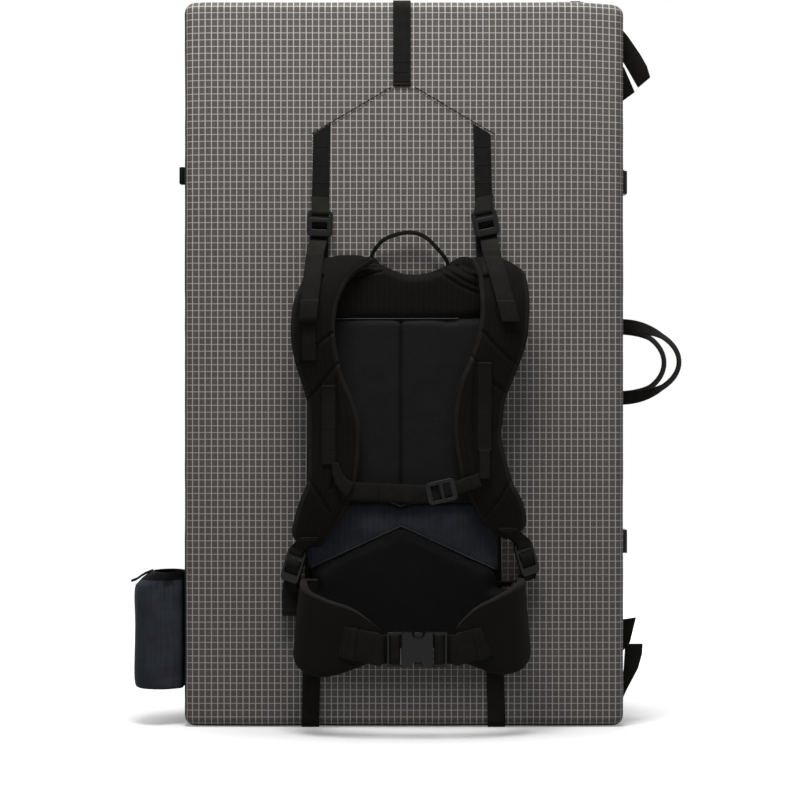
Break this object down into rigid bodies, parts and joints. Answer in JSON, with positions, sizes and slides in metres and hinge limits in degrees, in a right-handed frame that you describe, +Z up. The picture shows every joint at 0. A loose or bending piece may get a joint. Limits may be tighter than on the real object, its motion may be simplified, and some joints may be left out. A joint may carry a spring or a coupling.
{
  "type": "bouldering crash pad",
  "caption": "Folding bouldering crash pad with foam-filled halves, fabric hinge, side pocket, carry handles and a padded backpack harness with hip belt and chest strap.",
  "frame": {"origin": "middle of the front half's bottom face, on the floor", "axes": "+Z up along the folded pad's height, -Y towards the wearer's back (the carrying side), +X to the right as the picture shows it"},
  "size_m": [0.8006, 0.3347, 1.0508],
  "materials": {
    "check_cloth": "matte",
    "ripstop_black": "matte",
    "ripstop_navy": "matte",
    "mesh_charcoal": "matte",
    "webbing": "matte",
    "open_cell_foam": "matte",
    "closed_cell_foam": "matte",
    "buckle_plastic": "satin",
    "dark_metal": "satin"
  },
  "bodies": {
    "front_half": {"front_cover": "check_cloth", "front_open_cell_foam": "open_cell_foam", "front_closed_cell_foam": "closed_cell_foam", "front_zipper_tape": "ripstop_black", "fold_hinge": "ripstop_black", "reinforcement_panel": "check_cloth", "top_webbing": "webbing", "left_long_webbing": "webbing", "right_long_webbing": "webbing", "upper_back_pad": "ripstop_black", "centre_back_pad": "mesh_charcoal", "yoke_panel": "ripstop_navy", "lumbar_pad": "ripstop_black", "left_lifter_webbing": "webbing", "right_lifter_webbing": "webbing", "left_lower_webbing": "webbing", "right_lower_webbing": "webbing", "side_pocket": "ripstop_navy", "pocket_pull_tab": "webbing", "upper_front_corner_strap": "webbing", "lower_front_corner_strap": "webbing", "upper_closure_webbing": "webbing", "lower_closure_webbing": "webbing", "upper_closure_female": "buckle_plastic", "lower_closure_female": "buckle_plastic"},
    "back_half": {"back_cover": "check_cloth", "back_open_cell_foam": "open_cell_foam", "back_closed_cell_foam": "closed_cell_foam", "back_zipper_tape": "ripstop_black", "upper_back_corner_strap": "webbing", "lower_back_corner_strap": "webbing", "upper_back_webbing": "webbing", "lower_back_webbing": "webbing", "upper_closure_male": "buckle_plastic", "lower_closure_male": "buckle_plastic"},
    "front_zip": {"front_zip_slider": "dark_metal"},
    "back_zip": {"back_zip_slider": "dark_metal"},
    "front_handle": {"front_side_handle": "webbing"},
    "back_handle": {"back_side_handle": "webbing"},
    "top_handle": {"grab_handle": "webbing"},
    "left_strap": {"left_shoulder_strap": "ripstop_black", "left_daisy_webbing": "webbing"},
    "right_strap": {"right_shoulder_strap": "ripstop_black", "right_daisy_webbing": "webbing", "chest_loop": "webbing"},
    "chest_strap": {"chest_webbing": "webbing", "chest_hook": "dark_metal"},
    "keeper": {"chest_keeper": "ripstop_black"},
    "left_lifter": {"left_lifter_lock": "buckle_plastic"},
    "right_lifter": {"right_lifter_lock": "buckle_plastic"},
    "left_lower": {"left_strap_lock": "buckle_plastic"},
    "right_lower": {"right_strap_lock": "buckle_plastic"},
    "left_wing": {"left_hip_wing": "ripstop_black", "left_waist_webbing": "webbing"},
    "right_wing": {"right_hip_wing": "ripstop_black", "right_waist_webbing": "webbing"},
    "male_buckle": {"waist_buckle_male": "buckle_plastic"},
    "female_buckle": {"waist_buckle_female": "buckle_plastic"},
    "upper_prong_body": {"upper_prong": "buckle_plastic"},
    "lower_prong_body": {"lower_prong": "buckle_plastic"}
  },
  "joints": [
    {"name": "pad_fold", "type": "hinge", "parent": "front_half", "child": "back_half", "pos_m": [-0.3188, 0.0503, 0.5225], "axis": [0, 0, 1], "range_deg": [0, 180], "deforming": ["fold_hinge", "side_pocket", "pocket_pull_tab"]},
    {"name": "front_zip_slide", "type": "slide", "parent": "front_half", "child": "front_zip", "axis": [-1, 0, 0], "range_m": [0, 0.49]},
    {"name": "back_zip_slide", "type": "slide", "parent": "back_half", "child": "back_zip", "axis": [-1, 0, 0], "range_m": [0, 0.49]},
    {"name": "front_handle_swing", "type": "hinge", "parent": "front_half", "child": "front_handle", "pos_m": [0.3179, 0, 0.526], "axis": [0, 0, 1], "range_deg": [-70, 20]},
    {"name": "back_handle_swing", "type": "hinge", "parent": "back_half", "child": "back_handle", "pos_m": [0.3179, 0.1006, 0.526], "axis": [0, 0, 1], "range_deg": [-20, 70]},
    {"name": "top_handle_tilt", "type": "hinge", "parent": "front_half", "child": "top_handle", "pos_m": [-0.003, -0.0571, 0.6716], "axis": [1, 0, 0], "range_deg": [0, 80], "stiffness_Nm_per_rad": 0.02},
    {"name": "left_strap_lift", "type": "hinge", "parent": "front_half", "child": "left_strap", "pos_m": [-0.003, -0.0842, 0.6668], "axis": [-1, 0, 0], "range_deg": [0, 25], "deforming": ["left_lifter_webbing", "left_lower_webbing"]},
    {"name": "right_strap_lift", "type": "hinge", "parent": "front_half", "child": "right_strap", "pos_m": [-0.003, -0.0842, 0.6668], "axis": [-1, 0, 0], "range_deg": [0, 25], "deforming": ["right_lifter_webbing", "right_lower_webbing"]},
    {"name": "chest_unclip", "type": "hinge", "parent": "left_strap", "child": "chest_strap", "pos_m": [-0.111, -0.09831, 0.3422], "axis": [0, 0, -1], "range_deg": [0, 80]},
    {"name": "keeper_slide", "type": "slide", "parent": "chest_strap", "child": "keeper", "axis": [1, 0, 0], "range_m": [-0.02, 0.024]},
    {"name": "left_lifter_tilt", "type": "hinge", "parent": "front_half", "child": "left_lifter", "pos_m": [-0.11977, -0.0635, 0.73858], "axis": [-0.9986, 0, 0.0523], "range_deg": [0, 30]},
    {"name": "right_lifter_tilt", "type": "hinge", "parent": "front_half", "child": "right_lifter", "pos_m": [0.11337, -0.0635, 0.73952], "axis": [-0.9781, 0, -0.2079], "range_deg": [0, 30]},
    {"name": "left_lower_tilt", "type": "hinge", "parent": "left_strap", "child": "left_lower", "pos_m": [-0.15437, -0.072, 0.25], "axis": [-0.9848, 0, 0.1736], "range_deg": [0, 30]},
    {"name": "right_lower_tilt", "type": "hinge", "parent": "right_strap", "child": "right_lower", "pos_m": [0.17159, -0.072, 0.2602], "axis": [-0.9848, 0, -0.1736], "range_deg": [0, 30]},
    {"name": "left_wing_open", "type": "hinge", "parent": "front_half", "child": "left_wing", "pos_m": [-0.12829, -0.0827, 0.1247], "axis": [0, 0, -1], "range_deg": [0, 36]},
    {"name": "right_wing_open", "type": "hinge", "parent": "front_half", "child": "right_wing", "pos_m": [0.16371, -0.0827, 0.1247], "axis": [0, 0, 1], "range_deg": [0, 36]},
    {"name": "male_buckle_turn", "type": "hinge", "parent": "left_wing", "child": "male_buckle", "pos_m": [-0.01309, -0.175, 0.1247], "axis": [0, 0, 1], "range_deg": [0, 36], "deforming": ["left_waist_webbing"]},
    {"name": "female_buckle_turn", "type": "hinge", "parent": "right_wing", "child": "female_buckle", "pos_m": [0.04851, -0.175, 0.1247], "axis": [0, 0, -1], "range_deg": [0, 36], "deforming": ["right_waist_webbing"]},
    {"name": "upper_prong_squeeze", "type": "hinge", "parent": "male_buckle", "child": "upper_prong_body", "pos_m": [-0.00269, -0.175, 0.13495], "axis": [0, 1, 0], "range_deg": [0, 6], "stiffness_Nm_per_rad": 0.3},
    {"name": "lower_prong_squeeze", "type": "hinge", "parent": "male_buckle", "child": "lower_prong_body", "pos_m": [-0.00269, -0.175, 0.11445], "axis": [0, -1, 0], "range_deg": [0, 6], "stiffness_Nm_per_rad": 0.3}
  ],
  "couplings": [
    {"joint": "right_strap_lift", "follows": "left_strap_lift", "ratio": 1},
    {"joint": "right_wing_open", "follows": "left_wing_open", "ratio": 1},
    {"joint": "male_buckle_turn", "follows": "left_wing_open", "ratio": 1},
    {"joint": "female_buckle_turn", "follows": "left_wing_open", "ratio": 1},
    {"joint": "lower_prong_squeeze", "follows": "upper_prong_squeeze", "ratio": 1}
  ]
}
